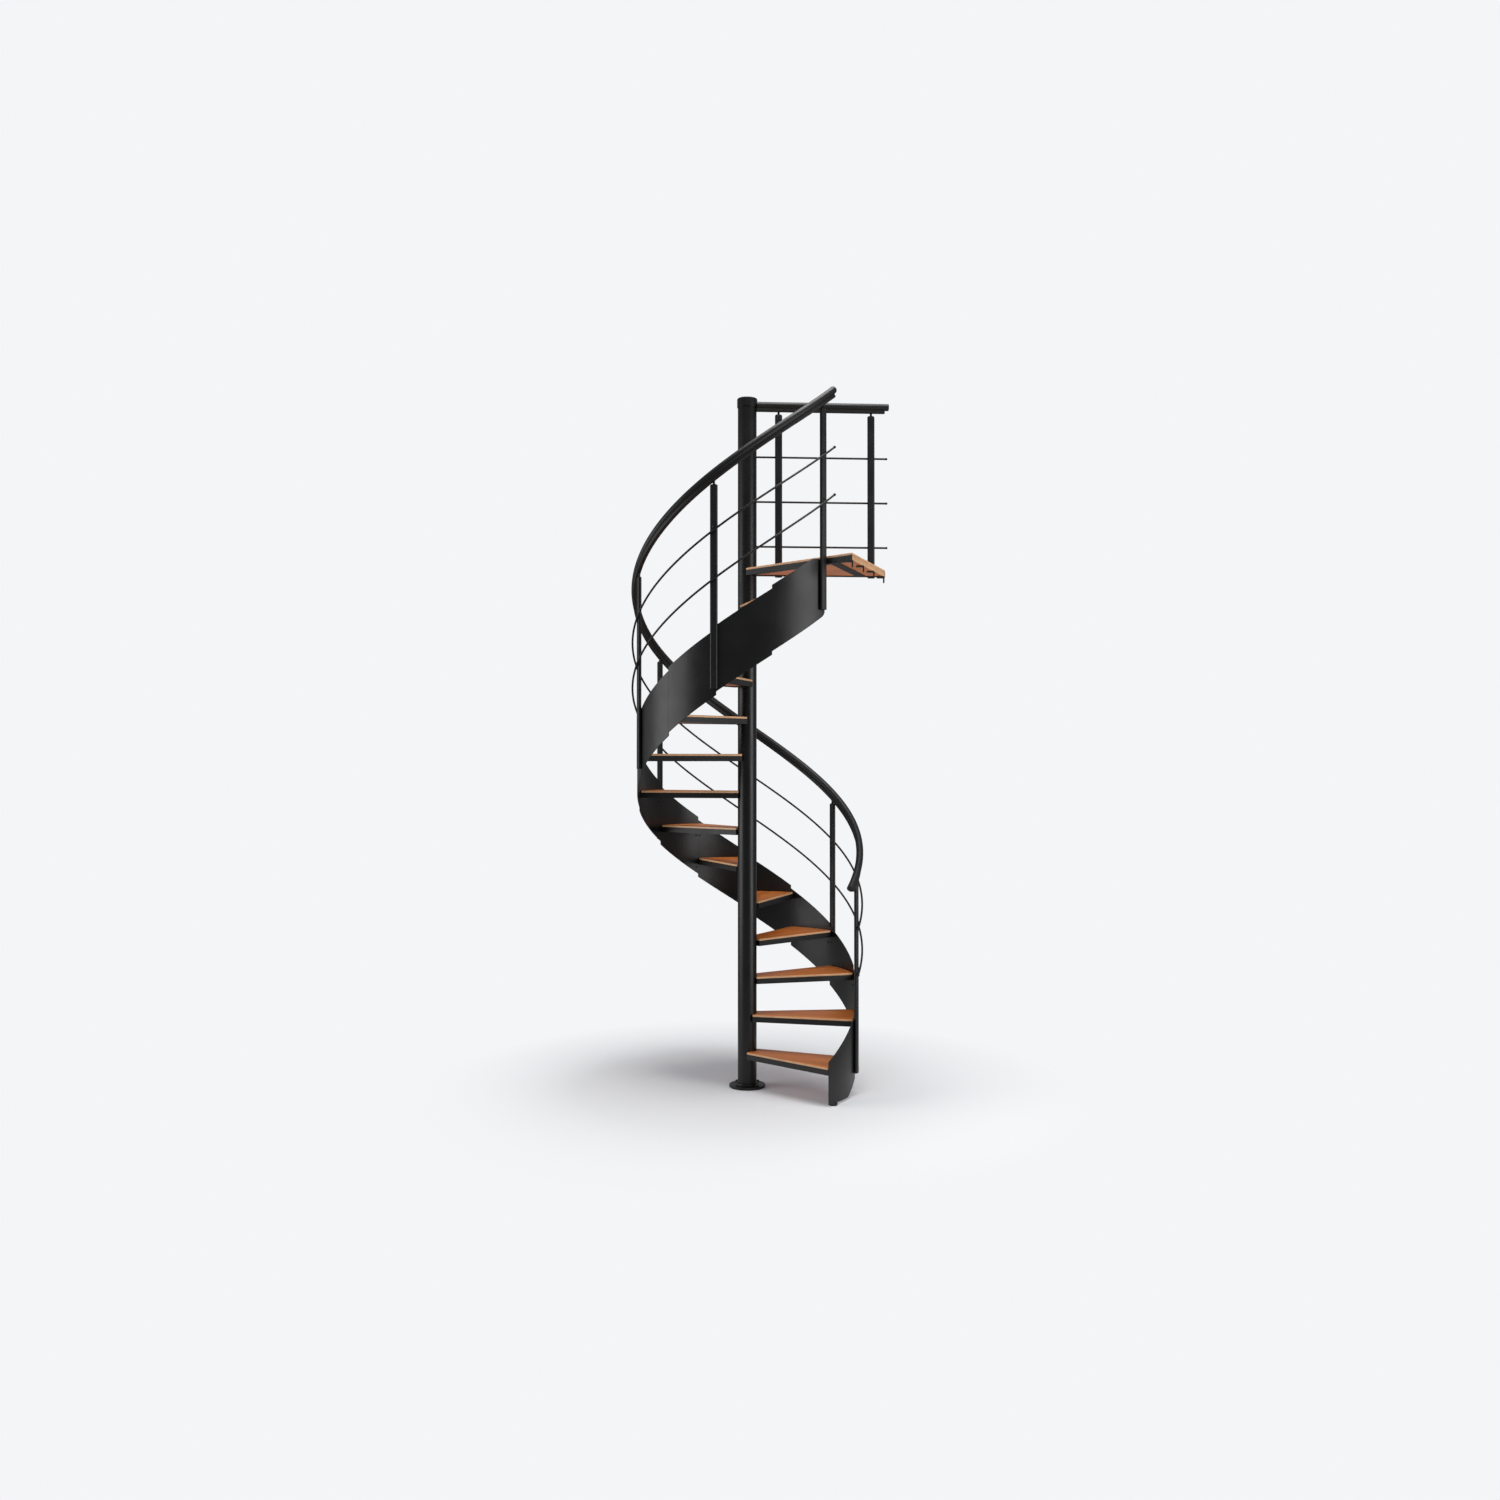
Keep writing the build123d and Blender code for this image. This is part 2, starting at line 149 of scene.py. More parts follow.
def inset(outline, distance):
    """Moves each point inwards by distance * (n1 + n2) / (1 + n1 . n2), n being side normals."""
    side = unit(np.roll(outline, -1, axis=0) - outline)
    normal = np.stack([-side[:, 1], side[:, 0]], axis=-1)
    before = np.roll(normal, 1, axis=0)
    share = 1 + (normal * before).sum(axis=1, keepdims=True)
    return outline + distance * (normal + before) / np.maximum(share, 0.3)


# %% [markdown]
# A path is a list of stations: a centre and two directions, `out` for u and `up` for v.
# `sweep` carries an outline along it, and `prism` stacks one upwards.


# %%
# Rings along a path
def sweep(outline, centres, outs, ups, rounding=0.001):
    """Rings centre + u * out + v * up, drawn in by r (1 - cos t) at r (1 - sin t) from an end."""
    first = unit(centres[1] - centres[0])
    last = unit(centres[-1] - centres[-2])
    rings = []

    def ring(station, shift, drawn):
        shape = inset(outline, drawn) if drawn else outline
        middle = centres[station] + shift
        rings.append(middle + shape[:, :1] * outs[station] + shape[:, 1:] * ups[station])

    for t in np.radians([90, 60, 30, 0]):
        ring(0, first * rounding * (1 - math.sin(t)), rounding * (1 - math.cos(t)))
    for station in range(1, len(centres) - 1):
        ring(station, 0, 0)
    for t in np.radians([0, 30, 60, 90]):
        ring(-1, -last * rounding * (1 - math.sin(t)), rounding * (1 - math.cos(t)))
    return np.array(rings)


def prism(outline, levels):
    """Rings of an upright solid: levels are (inset, height) pairs from its foot to its top."""
    rings = []
    for drawn, height in levels:
        shape = inset(outline, drawn)
        rings.append(np.column_stack([shape, np.full(len(shape), height)]))
    return np.array(rings)


def turned(foot, axis, profile, sides=24):
    """Rings foot + h * axis + r * (cos a * e1 + sin a * e2) for (r, h) pairs of a profile."""
    axis = unit(np.asarray(axis, dtype=float))
    helper = np.array([0.0, 0.0, 1.0]) if abs(axis[2]) < 0.9 else np.array([1.0, 0.0, 0.0])
    first = unit(np.cross(axis, helper))
    second = np.cross(axis, first)
    angle = (np.arange(sides) + 0.5) * 2 * math.pi / sides
    circle = np.cos(angle)[:, None] * first + np.sin(angle)[:, None] * second
    return np.array([foot + h * axis + r * circle for r, h in profile])


def on_helix(radius, degrees, heights):
    """Stations (radius cos a, radius sin a, height), out being radial and up square to both."""
    angle = np.radians(degrees)
    out = np.stack([np.cos(angle), np.sin(angle), np.zeros_like(angle)], axis=-1)
    centres = radius * out + np.outer(heights, [0, 0, 1])
    along = unit(np.gradient(centres, axis=0))
    return centres, out, np.cross(out, along)


def nosing(degrees):
    """Height of the nosing helix: FIRST_RISER + RISER * (angle - FIRST) / STEP."""
    return FIRST_RISER + RISER * (np.asarray(degrees) - FIRST) / STEP


def rail_height(degrees):
    """Height of the handrail's centre: the nosing, RAIL_RISE, and RAIL_GAIN for every step."""
    return nosing(degrees) + RAIL_RISE + RAIL_GAIN * (np.asarray(degrees) - RAIL_START) / STEP


def rod_height(degrees, rise):
    """Height of a rod's centre: the nosing, its rise, and ROD_GAIN for every step."""
    return nosing(degrees) + rise + ROD_GAIN * (np.asarray(degrees) - ROD_START) / STEP


def polar(radius, degrees, height=0.0):
    """The point (radius cos a, radius sin a, height)."""
    angle = math.radians(degrees)
    return np.array([radius * math.cos(angle), radius * math.sin(angle), height])


# %% [markdown]
# `piece` joins any number of ring stacks into one object, with a flat cap on both ends of
# each stack. Normals lean towards the larger faces, so flats stay flat beside small rounds.


# %%
# Make an object from ring stacks
def piece(name, stacks, look, replaces=()):
    """Quads between neighbouring rings, and a face over the first and last ring of a stack."""
    points, faces, start = [], [], 0
    for rings in stacks:
        rows, columns, _ = rings.shape
        index = start + np.arange(rows * columns).reshape(rows, columns)
        beside = np.roll(index, -1, axis=1)
        quads = np.stack([index[:-1], beside[:-1], beside[1:], index[1:]], axis=-1)
        faces += quads.reshape(-1, 4).tolist()
        faces += [index[0, ::-1].tolist(), index[-1].tolist()]
        points.append(rings.reshape(-1, 3))
        start += rows * columns
    mesh = bpy.data.meshes.new(name)
    mesh.from_pydata(np.concatenate(points).tolist(), [], faces)
    shell = bmesh.new()
    shell.from_mesh(mesh)
    bmesh.ops.recalc_face_normals(shell, faces=shell.faces)
    shell.to_mesh(mesh)
    shell.free()
    mesh.shade_smooth()
    mesh.set_sharp_from_angle(angle=math.radians(50))
    mesh.materials.append(look.material)
    made = bpy.data.objects.new(name, mesh)
    bpy.context.scene.collection.objects.link(made)
    made.modifiers.new("flats_stay_flat", "WEIGHTED_NORMAL").keep_sharp = True
    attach(made, "root")
    if replaces:
        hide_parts(*replaces)
    print(f"{name}: {len(faces)} faces")
    return made


# %% [markdown]
# ## Materials
#
# `Value` wraps a shader output, so that a sum of shader values is written as a sum. `Graph`
# is a node tree with the one method that makes nodes. `Look` is one material: a Principled
# shader and a few patterns.


# %%
# Shader values and materials
class Value:
    """A shader output that can be added and multiplied."""

    def __init__(self, graph, socket):
        self.graph = graph
        self.socket = socket

    def __add__(self, other):
        return self.graph.node("ShaderNodeMath", {0: self, 1: other}, operation="ADD")

    def __mul__(self, other):
        return self.graph.node("ShaderNodeMath", {0: self, 1: other}, operation="MULTIPLY")


class Graph:
    """A node tree of a material or of the world."""

    def __init__(self, tree):
        self.tree = tree

    def plug(self, socket, value):
        """Links a Value to an input, or sets the input to a plain number or colour."""
        if isinstance(value, Value):
            self.tree.links.new(value.socket, socket)
        else:
            socket.default_value = value

    def node(self, kind, inputs=None, output=0, **settings):
        """Makes one node, sets it, feeds its inputs, and gives one of its outputs."""
        made = self.tree.nodes.new(kind)
        for name, value in settings.items():
            setattr(made, name, value)
        for name, value in (inputs or {}).items():
            self.plug(made.inputs[name], value)
        return Value(self, made.outputs[output])

    def ray(self, kind):
        """1 for rays of a kind, such as Camera or Glossy, and 0 for all others."""
        return self.node("ShaderNodeLightPath", output=f"Is {kind} Ray")


class Look(Graph):
    """A material: its Principled shader, and the nodes that feed it."""

    def __init__(self, name, roughness, coat=0.0):
        self.material = bpy.data.materials.new(name)
        self.material.use_nodes = True
        super().__init__(self.material.node_tree)
        self.shader = self.tree.nodes["Principled BSDF"]
        self.feed(roughness=roughness, coat_weight=coat)

    def feed(self, **inputs):
        """Sets or links inputs of the shader: base_color=... reaches Base Color."""
        for name, value in inputs.items():
            self.plug(self.shader.inputs[name.replace("_", " ").title()], value)

    def place(self, turn=0.0, stretch=(1, 1, 1), shift=(0, 0, 0)):
        """Object coordinates, turned by an angle about Z and stretched."""
        point = self.node("ShaderNodeTexCoord", output="Object")
        spun = self.node("ShaderNodeMapping", {"Vector": point, "Rotation": (0, 0, -turn)})
        return self.node(
            "ShaderNodeMapping", {"Vector": spun, "Scale": stretch, "Location": shift}
        )

    def noise(self, point, scale, detail=3.0, roughness=0.5):
        """Fractal noise of a point, from 0 to 1."""
        return self.node(
            "ShaderNodeTexNoise",
            {"Vector": point, "Scale": scale, "Detail": detail, "Roughness": roughness},
        )

    def span(self, value, low, high, start=0.0, end=1.0):
        """Stretches low..high of a value to start..end, and holds it there."""
        return self.node(
            "ShaderNodeMapRange",
            {"Value": value, "From Min": low, "From Max": high, "To Min": start, "To Max": end},
        )

    def mix(self, share, first, second):
        """first * (1 - share) + second * share, for colours."""
        return self.node(
            "ShaderNodeMix", {0: share, 6: first, 7: second}, output=2, data_type="RGBA"
        )

    def bump(self, height, distance, strength):
        """Tilts the normal as if the surface were raised by height * distance."""
        made = self.node(
            "ShaderNodeBump", {"Height": height, "Distance": distance, "Strength": strength}
        )
        self.feed(normal=made)


# %% [markdown]
# Powder-coated steel is nearly black, satin, with a fine orange-peel bump, and slightly
# greyer where hands and feet rub it.


# %%
# Powder-coated steel
def powder_coat(name, shade=0.014, roughness=0.42, grain=700.0, peel=0.00012):
    """Colour from shade to a worn grey and roughness, both by patches; bump by a fine grain."""
    look = Look(name, roughness)
    look.shader.inputs["Specular IOR Level"].default_value = 0.4
    point = look.place()
    fine = look.noise(point, grain, 2.0)
    broad = look.noise(point, 6.0, 4.0)
    worn = look.span(broad, 0.45, 0.75)
    dark = (shade, shade, shade * 1.05, 1)
    grey = (shade * 1.9, shade * 1.9, shade * 1.95, 1)
    look.feed(base_color=look.mix(worn * 0.5, dark, grey))
    look.feed(roughness=look.span(broad, 0.3, 0.7, roughness - 0.05, roughness + 0.06))
    look.bump(fine, peel, 0.5)
    return look


plate_look = powder_coat("rolled_plate_coat", 0.004, 0.34)
tube_look = powder_coat("rail_tube_coat", 0.004, 0.50, 900.0, 0.00006)
column_look = powder_coat("column_coat", 0.003, 0.34)
post_look = powder_coat("post_coat", 0.004, 0.40)
rod_look = powder_coat("rod_coat", 0.004, 0.5)
frame_look = powder_coat("tread_frame_coat", 0.006, 0.45)
bolt_look = powder_coat("blackened_bolt", 0.010, 0.32, 1500.0, 0.00004)
print("steel materials made")

# %% [markdown]
# The boards are strip-glued hardwood under a clear satin varnish. In the board's own
# direction the strips run along it; each has its own tone, and a fibre pattern stretched
# along the grain. The upright sides are painted paler than the tops, as painted lamp light
# and varnish sheen.


# %%
# Timber
def timber(name, turn, seed):
    """Share 0.30 strip + 0.45 fibres + 0.35 patches of a light tone, and darker pores."""
    look = Look(name, 0.42, coat=0.25)
    look.feed(coat_roughness=0.28)
    along = look.place(turn, shift=(seed * 3.7, seed * 1.3, seed * 0.7))
    across = look.node("ShaderNodeSeparateXYZ", {"Vector": along}, output="Y")
    strip = look.node("ShaderNodeMath", {0: across * 22.0, 1: 0.0}, operation="FLOOR")
    tone = look.node("ShaderNodeTexWhiteNoise", {"W": strip + seed}, noise_dimensions="1D")
    stretched = look.place(turn, (1.2, 26.0, 26.0), (seed * 2.1, seed * 5.3, seed * 4.1))
    fibre = look.noise(stretched, 3.2, 6.0, 0.62)
    pores = look.noise(stretched, 17.0, 3.0, 0.6)
    patch = look.noise(look.place(turn, (1.0, 3.0, 3.0), (seed, 0, 0)), 2.6, 3.0)
    # Painted light: where the normal is nearly level, on the upright sides, the paler side colour
    # stands in for lamp light and varnish sheen
    normal = look.node("ShaderNodeNewGeometry", output="Normal")
    facing = look.node("ShaderNodeSeparateXYZ", {"Vector": normal}, output="Z")
    painted_side_light_mask = look.span(look.node("ShaderNodeMath", {0: facing}, operation="ABSOLUTE"), 0.3, 0.7)
    share = tone * 0.30
    share += look.span(fibre, 0.30, 0.70) * 0.45
    share += look.span(patch, 0.35, 0.65) * 0.35
    face = look.mix(share, (0.42, 0.105, 0.018, 1), (0.76, 0.235, 0.042, 1))
    # side: paler colour painted on the upright sides as lamp light and varnish sheen
    side = look.mix(share, (0.46, 0.25, 0.120, 1), (0.70, 0.42, 0.220, 1))
    colour = look.mix(painted_side_light_mask, side, face)
    deep = look.span(pores, 0.62, 0.70) * 0.45
    look.feed(base_color=look.mix(deep, colour, (0.16, 0.05, 0.015, 1)))
    look.feed(roughness=look.span(fibre, 0.3, 0.7, 0.36, 0.48))
    look.bump(fibre + pores * 0.5, 0.0004, 0.5)
    return look


# %% [markdown]
# ## Camera, floor and light
#
# The camera stands at the photograph's place, 7.7 m in front of the column at 1.95 m. The
# backdrop is the pale grey of the photograph for the camera. Reflections see it at a quarter
# of that strength. The floor keeps the stair's soft shadow and fades into the grey further out.

# %%
# Camera
lens = bpy.data.cameras.new("camera")
lens.lens = 30.53
lens.sensor_width = 36.0
lens.shift_x = -0.6 / 1500
lens.shift_y = 0.5 / 1500
camera = bpy.data.objects.new("camera", lens)
camera.location = (0.0205, -7.7206, 1.948)
camera.rotation_euler = (math.radians(90.6245), 0, 0)
bpy.context.scene.collection.objects.link(camera)
bpy.context.scene.camera = camera
bpy.context.scene.view_settings.view_transform = "Standard"

# %%
# Floor: its own light for the camera, and a diffuse share that takes the shadow
PALE = (0.905, 0.913, 0.930, 1)
FLOOR_OWN = (0.055, 0.063, 0.080, 1)
BLACK = (0, 0, 0, 1)
floor_look = Look("pale_floor", 0.9)
floor_look.shader.inputs["Specular IOR Level"].default_value = 0.0
floor_look.shader.inputs["Emission Strength"].default_value = 1.0
spot = floor_look.node("ShaderNodeTexCoord", output="Object")
distance = floor_look.node("ShaderNodeVectorMath", {0: spot}, output="Value", operation="LENGTH")
far = floor_look.span(distance, 1.0, 2.0)
seen = floor_look.ray("Camera") + floor_look.ray("Transmission")
bounced = floor_look.ray("Glossy") * 0.25 + floor_look.ray("Diffuse") * 0.9
own = floor_look.mix(far, FLOOR_OWN, PALE)
floor_look.feed(base_color=floor_look.mix(far, (0.82, 0.82, 0.82, 1), BLACK))
floor_look.feed(emission_color=floor_look.mix(seen + bounced, BLACK, own))
mesh = bpy.data.meshes.new("floor")
reach = 40.0
mesh.from_pydata(
    [(-reach, -reach, 0), (reach, -reach, 0), (reach, reach, 0), (-reach, reach, 0)],
    [],
    [(0, 1, 2, 3)],
)
mesh.materials.append(floor_look.material)
floor = bpy.data.objects.new("floor", mesh)
bpy.context.scene.collection.objects.link(floor)

# %%
# World: the backdrop for the camera and behind glass, dimmer in reflections and as fill
world = bpy.data.worlds.new("studio")
bpy.context.scene.world = world
world.use_nodes = True
sky = Graph(world.node_tree)
glow = sky.tree.nodes["Background"]
sky.plug(glow.inputs["Color"], PALE)
FILL = 0.22
strength = sky.ray("Camera") * (1 - FILL) + sky.ray("Transmission") * (1 - FILL)
strength += sky.ray("Glossy") * 0.03
sky.plug(glow.inputs["Strength"], strength + FILL)


# %%
# Soft boxes
def soft_box(name, place, target, size, power):
    """A rectangular lamp of a size in metres that faces its target."""
    lamp = bpy.data.lights.new(name, "AREA")
    lamp.shape = "RECTANGLE"
    lamp.size, lamp.size_y = size
    lamp.energy = power
    made = bpy.data.objects.new(name, lamp)
    made.location = place
    aim = np.asarray(target, dtype=float) - np.asarray(place, dtype=float)
    yaw = math.atan2(aim[1], aim[0]) - math.pi / 2
    pitch = math.atan2(aim[2], math.hypot(aim[0], aim[1]))
    made.rotation_euler = (math.pi / 2 + pitch, 0, yaw)
    bpy.context.scene.collection.objects.link(made)


soft_box("left_box", (-5.2, -0.8, 2.15), (0, 0, 2.15), (4.0, 4.3), 136)
soft_box("right_box", (3.4, -2.1, 2.15), (0, 0, 2.15), (2.1, 4.3), 96)
soft_box("top_box", (0.3, -0.8, 7.5), (0, 0, 0), (3.6, 3.6), 340)
print("stage set")

# %% [markdown]
# ## Treads
#
# A board is a wedge between two straight edges that pass the column at an offset, a curve
# along the stringer, and a hollow for the column. Its lower part is drawn in by 4 mm, where
# the steel frame's lip covers it.


# %%
# Plan of a board about the nosing's angle
BOARD_CORNER = 0.004
BOARD_EDGE = 0.0025


def edge_point(offset, direction, distance):
    """Point at a distance along a line that passes the axis at an offset."""
    angle = math.radians(direction)
    c, s = math.cos(angle), math.sin(angle)
    return np.array([-offset * s + distance * c, offset * c + distance * s])


def clear_of_column(outline, radius):
    """Moves every point that is nearer the axis than a radius out to that radius."""
    reach = np.linalg.norm(outline, axis=1, keepdims=True)
    return outline * np.maximum(1.0, radius / reach)


def lines_meet(first, second):
    """Where two (offset, direction) lines cross, by solving n . p = offset for both."""
    rows = []
    for _, direction in (first, second):
        angle = math.radians(direction)
        rows.append([-math.sin(angle), math.cos(angle)])
    return np.linalg.solve(np.array(rows), np.array([first[0], second[0]]))


def narrow_side(back, inner):
    """Points back + t * (inner - back) that clear_of_column bends round the column."""
    return back + np.linspace(0, 1, 26)[1:-1, None] * (inner - back)


def tread_plan(outer):
    """Wedge from FRONT_LINE to REAR_LINE, with a curve of radius outer and a narrow end."""
    front_turn = math.degrees(math.asin(-FRONT_LINE / STRINGER_INNER))
    rear_turn = STEP + REAR_OVERLAP - math.degrees(math.asin(REAR_LINE / STRINGER_INNER))
    inner = edge_point(FRONT_LINE, front_turn, NARROW_END)
    start = edge_point(FRONT_LINE, front_turn, math.sqrt(outer**2 - FRONT_LINE**2))
    end = edge_point(REAR_LINE, rear_turn, math.sqrt(outer**2 - REAR_LINE**2))
    back = edge_point(REAR_LINE, rear_turn, NARROW_END)
    low, high = math.atan2(start[1], start[0]), math.atan2(end[1], end[0])
    arc = np.linspace(low, high, 17)[1:-1]
    curve = outer * np.stack([np.cos(arc), np.sin(arc)], axis=-1)
    corners = np.vstack([inner, start, curve, end, back, narrow_side(back, inner)])
    radii = np.zeros(len(corners))
    radii[[0, 1, 17, 18]] = BOARD_CORNER
    return clear_of_column(rounded(corners, radii), COLUMN + COLUMN_GAP)


def turn_plan(outline, degrees):
    """The outline turned about the axis by an angle in degrees."""
    angle = math.radians(degrees)
    c, s = math.cos(angle), math.sin(angle)
    return outline @ np.array([[c, s], [-s, c]])


def board_levels(top):
    """A board's rings: its foot inside the frame's lip, and r (1 - cos t), -r (1 - sin t) above."""
    levels = [(0.005, -BOARD), (0.004, -BOARD + 0.001), (0.004, -STRIP - 0.0002)]
    levels += [(0.0006, -STRIP - 0.0002), (0.0, -STRIP + 0.0004)]
    for t in np.radians([0, 25, 50, 70, 90]):
        levels.append((BOARD_EDGE * (1 - math.cos(t)), -BOARD_EDGE * (1 - math.sin(t))))
    return [(drawn, top + height) for drawn, height in levels]


plan = tread_plan(BOARD_OUTER)
for number in range(1, TREADS + 1):
    angle = FIRST + STEP * (number - 1)
    look = timber(f"timber_{number:02d}", math.radians(angle + 14.0), number * 0.61)
    rings = prism(turn_plan(plan, angle), board_levels(float(nosing(angle))))
    piece(f"board_{number:02d}", [rings], look, [f"tread_board_{number:02d}"])

# %%
# Steel frames keep their solids, with the coated look
for name in ("tread_frames", "landing_frame"):
    nodes[name].data.materials.clear()
    nodes[name].data.materials.append(frame_look.material)

# %% [markdown]
# ## Stringer
#
# Each plate is an upright strip carried up its own helix, a little flatter than the flight, so
# that its ends step at the joints. The joints lie 1.3 degrees beyond the nosings. The first
# plate stops short of the floor. The last one is cut level 18 mm below the landing's top, and
# its lower corner is rounded.

# %%
# Rolled plates
PLATE_CLIMB = (RISER - PLATE_JOG) / STEP
middle = (STRINGER_INNER + STRINGER_OUTER) / 2
gap = math.degrees(0.0001 / STRINGER_OUTER)
half_plate = PLATE_HEIGHT / 2
END_CORNER = 0.022
END_LIFT = 0.016
strip = rounded(
    [(-0.003, -half_plate), (0.003, -half_plate), (0.003, half_plate), (-0.003, half_plate)],
    0.0012,
)
for number in range(1, TREADS + 1):
    nose = FIRST + STEP * (number - 1)
    start = nose + (JOINT_LAG if number > 1 else 0) + gap / 2
    end = nose + STEP + JOINT_LAG - gap / 2
    if number == TREADS:
        end = POST_ANGLES[-1] + math.degrees(POST_WIDTH / 2 / POST_HELIX)
    degrees = np.linspace(start, end, 60)
    heights = float(nosing(nose)) + PLATE_RISE - half_plate + (degrees - nose) * PLATE_CLIMB
    centres, outs, _ = on_helix(middle, degrees, heights)
    ups = np.tile([0.0, 0.0, 1.0], (len(degrees), 1))
    rings = sweep(strip, centres, outs, ups, 0.0006)
    low = rings[..., 2] < rings[..., 2].mean(axis=1, keepdims=True)
    if number == 1:
        level = rings[..., 2] - FLOOR_GAP
        soft = FLOOR_GAP + (level + np.sqrt(level**2 + 0.006**2)) / 2
        rings[..., 2] = np.where(low, soft, rings[..., 2])
    if number == TREADS:
        turn = np.degrees(np.arctan2(rings[..., 1], rings[..., 0])) % 360
        to_end = np.maximum(end - turn, 0) * math.radians(1) * middle
        near = np.clip(1 - to_end / END_CORNER, 0, 1)
        rings[..., 2] += np.where(low, END_LIFT * (1 - np.sqrt(1 - near**2)), 0)
        level = LAST_PLATE_TOP - rings[..., 2]
        soft = LAST_PLATE_TOP - (level + np.sqrt(level**2 + 0.010**2)) / 2
        rings[..., 2] = np.where(low, rings[..., 2], soft)
    name = f"stringer_plate_{number:02d}"
    piece(f"plate_{number:02d}", [rings], plate_look, [name])

# %% [markdown]
# ## Column, cap and floor flange

# %%
# Turned steel
UP = (0.0, 0.0, 1.0)
ORIGIN = np.zeros(3)
column_rings = turned(ORIGIN, UP, [(COLUMN, 0.015), (COLUMN, CAP_FOOT + 0.010)], 128)
piece("column", [column_rings], column_look, ["centre_column"])

cap_profile = [(CAP - 0.0015, CAP_FOOT), (CAP, CAP_FOOT + 0.0015)]
for t in np.radians([0, 15, 30, 45, 60, 75, 90]):
    drawn, lift = 0.006 * (1 - math.cos(t)), 0.006 * math.sin(t)
    cap_profile.append((CAP - drawn, CAP_TOP - 0.008 + lift))
for share in (0.8, 0.6, 0.4, 0.2, 0.03):
    cap_profile.append(((CAP - 0.006) * share, CAP_TOP - 0.002 * share**2))
cap_rings = turned(ORIGIN, UP, cap_profile, 128)
piece("cap", [cap_rings], column_look, ["column_cap"])

flange_profile = [(0.1075, 0.0), (0.109, 0.0015), (0.109, 0.0125), (0.1083, 0.0142)]
flange_profile += [(0.1065, 0.015), (0.070, 0.015), (0.0665, 0.0165), (0.066, 0.020)]
flange_profile += [(0.0655, 0.0225), (0.064, 0.0243), (0.062, 0.025), (0.0565, 0.025)]
flange_rings = turned(ORIGIN, UP, flange_profile, 128)
piece("floor_flange", [flange_rings], plate_look, ["base_flange"])


# %% [markdown]
# ## Fasteners
#
# Two turned shapes: a hexagonal bolt with its washer, and a domed screw.


# %%
# Bolt shapes
def hexagon_bolt(foot, axis, size):
    """Washer of 1.1 size, and a hexagonal head of 0.85 size across its corners."""
    washer = [(size, 0), (size * 1.1, size * 0.05), (size * 1.1, size * 0.2), (size, size * 0.25)]
    head = [(size * 0.85, size * 0.25), (size * 0.85, size * 0.75), (size * 0.72, size * 0.85)]
    return [turned(foot, axis, washer), turned(foot, axis, head, 6)]


def domed_screw(foot, axis, size):
    """A button head: radius size, height 0.55 size, with a socket sunk in its crown."""
    profile = [(size, 0)]
    for t in np.radians([0, 20, 40, 60]):
        profile.append((size * math.cos(t), size * 0.1 + size * 0.45 * math.sin(t)))
    profile += [(size * 0.34, size * 0.5), (size * 0.34, size * 0.25), (size * 0.1, size * 0.2)]
    return [turned(foot, axis, profile)]


ANCHOR_CIRCLE = 0.088
FLANGE_TOP = 0.015
anchors = []
for angle in (45, 135, 225, 315):
    anchors += hexagon_bolt(polar(ANCHOR_CIRCLE, angle, FLANGE_TOP), UP, 0.011)
piece("flange_anchors", anchors, bolt_look)

# %% [markdown]
# ## Railing of the flight
#
# Flat oval posts stand on the stringer's outer face, six at every second joint and one at the
# end of the flight, with a chamfered head and a neck up to the bar. Two thin rods run up
# their outer faces, and the round handrail lies on a narrower bar.

# %%
# Oval posts
slope = math.atan((RISER + RAIL_GAIN) * 360 / STEP / (2 * math.pi * RAIL_HELIX))
neck_drop = (RAIL + BAR_HEIGHT) / math.cos(slope)


def post_rings(centre, across, foot, head):
    """Oval rings from foot to head, the last ones drawn in as the head's chamfer, and a neck."""
    outward = np.array([across[1], -across[0], 0.0])
    shape = oval(POST_WIDTH, POST_DEPTH)
    levels = [(0.0012, foot), (0.0003, foot + 0.0004), (0.0, foot + 0.0012)]
    levels += [(0.0, head - 0.0235), (0.0004, head - 0.0228)]
    levels += [(0.0066, head - 0.0162), (0.0074, head - 0.016)]
    body = []
    for drawn, height in levels:
        outline = inset(shape, drawn)
        ring = outline[:, :1] * across + outline[:, 1:] * outward
        body.append(ring + [centre[0], centre[1], height])
    neck = turned([centre[0], centre[1], head - 0.0165], UP, [(0.007, 0.0), (0.007, 0.0175)], 24)
    return [np.array(body), neck]


posts = []
for angle in POST_ANGLES:
    across = polar(1.0, angle + 90)
    foot = float(nosing(angle)) - POST_FOOT
    head = float(rail_height(angle)) - neck_drop
    posts += post_rings(polar(POST_HELIX, angle), across, foot, head)
piece("posts", posts, post_look, ["flight_posts"])

# %%
# Rods, handrail and its bar
def ball(centre, axis, radius):
    """Rings radius * sin t at radius * -cos t along the axis, for a ball on a rod's end."""
    turns = np.radians([8, 30, 50, 70, 90, 110, 130, 150, 172])
    return turned(centre, axis, [(radius * math.sin(t), -radius * math.cos(t)) for t in turns])


rods = []
for rise in ROD_RISES:
    degrees = np.linspace(ROD_START, ROD_END, 240)
    stations = on_helix(ROD_HELIX, degrees, rod_height(degrees, rise))
    rods.append(sweep(oval(2 * ROD, 2 * ROD, 16), *stations, 0.0015))
    path = stations[0]
    rods.append(ball(path[0], path[0] - path[1], 0.0085))
    rods.append(ball(path[-1], path[-1] - path[-2], 0.0085))
piece("rods", rods, rod_look, ["flight_rods"])

degrees = np.linspace(RAIL_START, RAIL_END, 260)
stations = on_helix(RAIL_HELIX, degrees, rail_height(degrees))
rail_rings = sweep(oval(2 * RAIL, 2 * RAIL, 40), *stations, 0.005)
piece("handrail", [rail_rings], tube_look, ["flight_handrail"])

